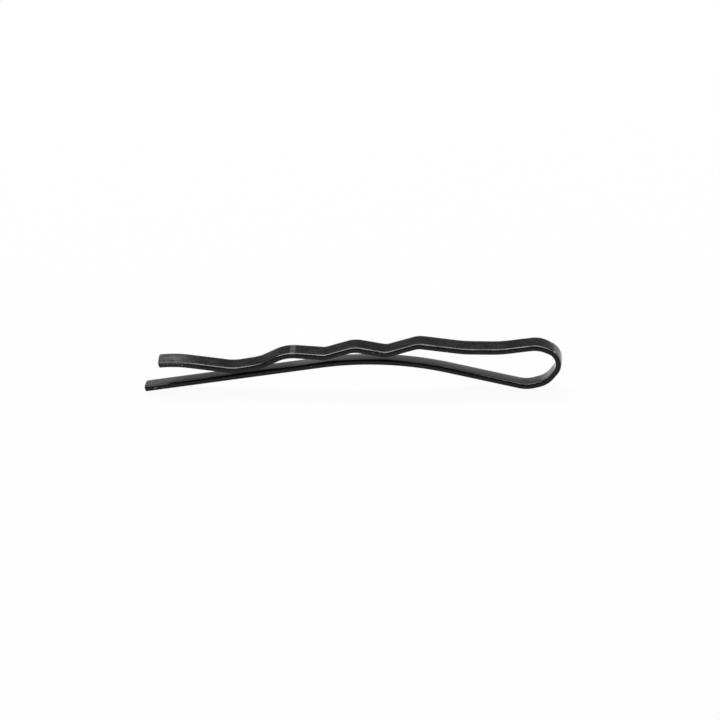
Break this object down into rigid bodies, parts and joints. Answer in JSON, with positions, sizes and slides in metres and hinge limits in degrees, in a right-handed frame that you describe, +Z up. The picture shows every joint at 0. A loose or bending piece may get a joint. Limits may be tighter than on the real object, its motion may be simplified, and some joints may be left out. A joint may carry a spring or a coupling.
{
  "type": "bobby pin",
  "caption": "Bobby pin: one flat sprung wire with a black coat, bent to a straight bowed leg, a narrow loop and a crimped leg that grips hair against it.",
  "frame": {"origin": "centre of the pin's bounding box at its underside: halfway along the pin, in the middle of the wire's width, on the surface that the straight leg's tip and the loop's heel stand on", "axes": "+X along the pin, from the open tips to the loop; +Y across the wire's width; +Z up, from the straight leg to the crimped leg"},
  "size_m": [0.05, 0.002, 0.0063],
  "materials": {
    "spring_steel": "bare hardened spring steel, under the coat",
    "enamel": "black baked enamel, semi-gloss, with a fine orange peel"
  },
  "bodies": {
    "straight_leg": {"straight_leg_wire": "spring_steel", "straight_leg_coat": "enamel"},
    "lower_loop": {"lower_loop_wire": "spring_steel", "lower_loop_coat": "enamel"},
    "upper_loop": {"upper_loop_wire": "spring_steel", "upper_loop_coat": "enamel"},
    "crimped_leg": {"crimped_leg_wire": "spring_steel", "crimped_leg_coat": "enamel"}
  },
  "joints": [
    {"name": "heel_flex", "type": "hinge", "parent": "straight_leg", "child": "lower_loop", "pos_m": [0.02188, 0, 0.00017], "axis": [0, 1, 0], "range_deg": [0, 7], "stiffness_Nm_per_rad": 0.015, "springref_deg": -1.72},
    {"name": "rear_flex", "type": "hinge", "parent": "lower_loop", "child": "upper_loop", "pos_m": [0.02498, 0, 0.00372], "axis": [0, 1, 0], "range_deg": [0, 7], "stiffness_Nm_per_rad": 0.015, "springref_deg": -1.72},
    {"name": "shoulder_flex", "type": "hinge", "parent": "upper_loop", "child": "crimped_leg", "pos_m": [0.02267, 0, 0.00596], "axis": [0, 1, 0], "range_deg": [0, 7], "stiffness_Nm_per_rad": 0.015, "springref_deg": -1.72}
  ],
  "couplings": [
    {"joint": "rear_flex", "follows": "heel_flex", "ratio": 1},
    {"joint": "shoulder_flex", "follows": "heel_flex", "ratio": 1}
  ]
}
